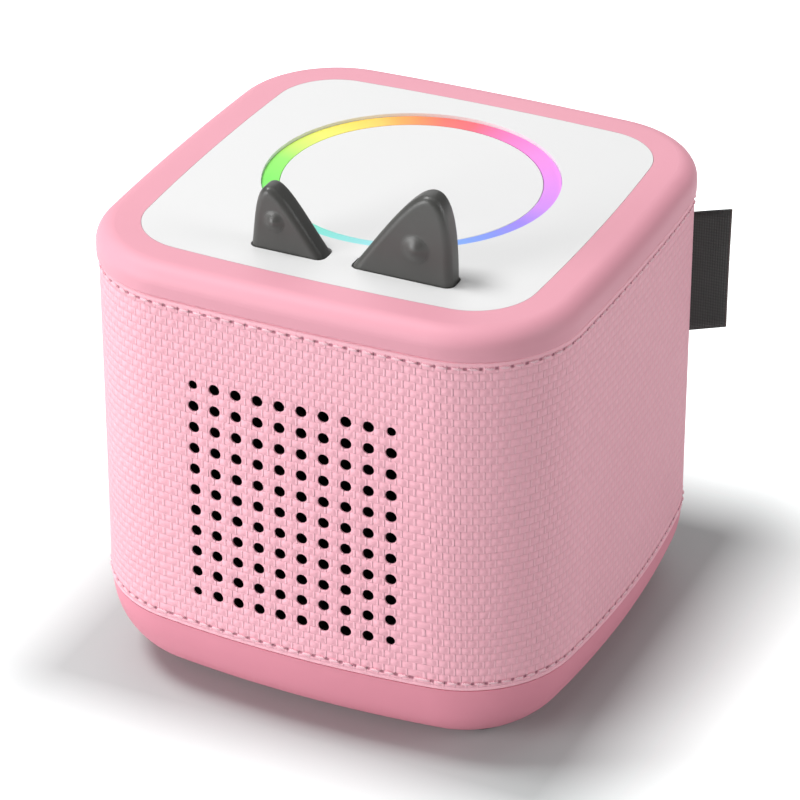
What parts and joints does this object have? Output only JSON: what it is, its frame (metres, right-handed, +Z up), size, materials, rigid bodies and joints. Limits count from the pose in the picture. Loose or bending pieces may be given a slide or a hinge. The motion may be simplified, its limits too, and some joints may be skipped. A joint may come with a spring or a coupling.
{
  "type": "audio story player",
  "caption": "Cube-shaped fabric-covered audio player with two ear controls, a glowing ring round a magnetic figure platform and a front speaker.",
  "frame": {"origin": "under the middle of the box, on the plane of its feet, 0.5 mm below its flat underside", "axes": "+Z up, -Y the speaker side with the ears nearest to it, +X to the right seen from the front"},
  "size_m": [0.1257, 0.1232, 0.1357],
  "materials": {
    "rim_plastic": "satin",
    "cup_plastic": "satin",
    "cover_fabric": "woven",
    "foam": "foam",
    "white_plastic": "satin",
    "diffuser": "frosted",
    "ear_rubber": "matte",
    "foot_rubber": "matte",
    "wire_rubber": "satin",
    "black_plastic": "matte",
    "led_plastic": "gloss",
    "cell_wrap": "gloss sleeve",
    "circuit_board": "gloss",
    "label_fabric": "woven",
    "cone_paper": "paper",
    "steel": "satin",
    "ferrite": "matte",
    "copper": "satin"
  },
  "bodies": {
    "player": {"battery_cells": "cell_wrap", "battery_door": "cup_plastic", "battery_lead": "wire_rubber", "battery_tray": "black_plastic", "board_chips": "black_plastic", "board_connectors": "white_plastic", "board_screws": "steel", "bottom_cup": "cup_plastic", "cup_screws": "steel", "door_screws": "steel", "fabric_sleeve": "cover_fabric", "figure_platform": "white_plastic", "foam_wrap": "foam", "headphone_socket": "black_plastic", "holding_magnet": "steel", "inner_housing": "black_plastic", "large_ear_board": "circuit_board", "large_ear_core": "black_plastic", "large_ear_skin": "ear_rubber", "large_ear_switch": "black_plastic", "led_board": "circuit_board", "light_ring": "diffuser", "main_board": "circuit_board", "port_bezel": "cup_plastic", "reader_board": "circuit_board", "reader_coil": "copper", "rim_screws": "steel", "ring_lead": "wire_rubber", "ring_leds": "led_plastic", "ring_plug": "white_plastic", "ring_reflector": "white_plastic", "rubber_feet": "foot_rubber", "shield_can": "steel", "small_ear_board": "circuit_board", "small_ear_core": "black_plastic", "small_ear_skin": "ear_rubber", "small_ear_switch": "black_plastic", "speaker_basket": "steel", "speaker_gasket": "foam", "speaker_grille": "black_plastic", "speaker_lead": "wire_rubber", "speaker_magnet": "ferrite", "speaker_pole_plate": "steel", "speaker_screws": "steel", "speaker_spider": "label_fabric", "speaker_surround": "foot_rubber", "speaker_yoke": "steel", "top_chassis": "black_plastic", "top_plate": "white_plastic", "top_rim": "rim_plastic", "usb_socket": "steel", "woven_label": "label_fabric"},
    "small_press_spot": {"small_ear_button": "ear_rubber"},
    "large_press_spot": {"large_ear_button": "ear_rubber"},
    "speaker_cone": {"dust_cap": "cone_paper", "speaker_cone": "cone_paper"}
  },
  "joints": [
    {"name": "small_ear_press", "type": "slide", "parent": "player", "child": "small_press_spot", "axis": [0, 1, 0], "range_m": [0, 0.0005], "stiffness_N_per_m": 2000},
    {"name": "large_ear_press", "type": "slide", "parent": "player", "child": "large_press_spot", "axis": [0, 1, 0], "range_m": [0, 0.0005], "stiffness_N_per_m": 2000},
    {"name": "cone_travel", "type": "slide", "parent": "player", "child": "speaker_cone", "axis": [0, 1, 0], "range_m": [-0.0012, 0.0012], "stiffness_N_per_m": 1500, "deforming": ["speaker_surround", "speaker_spider"]}
  ]
}
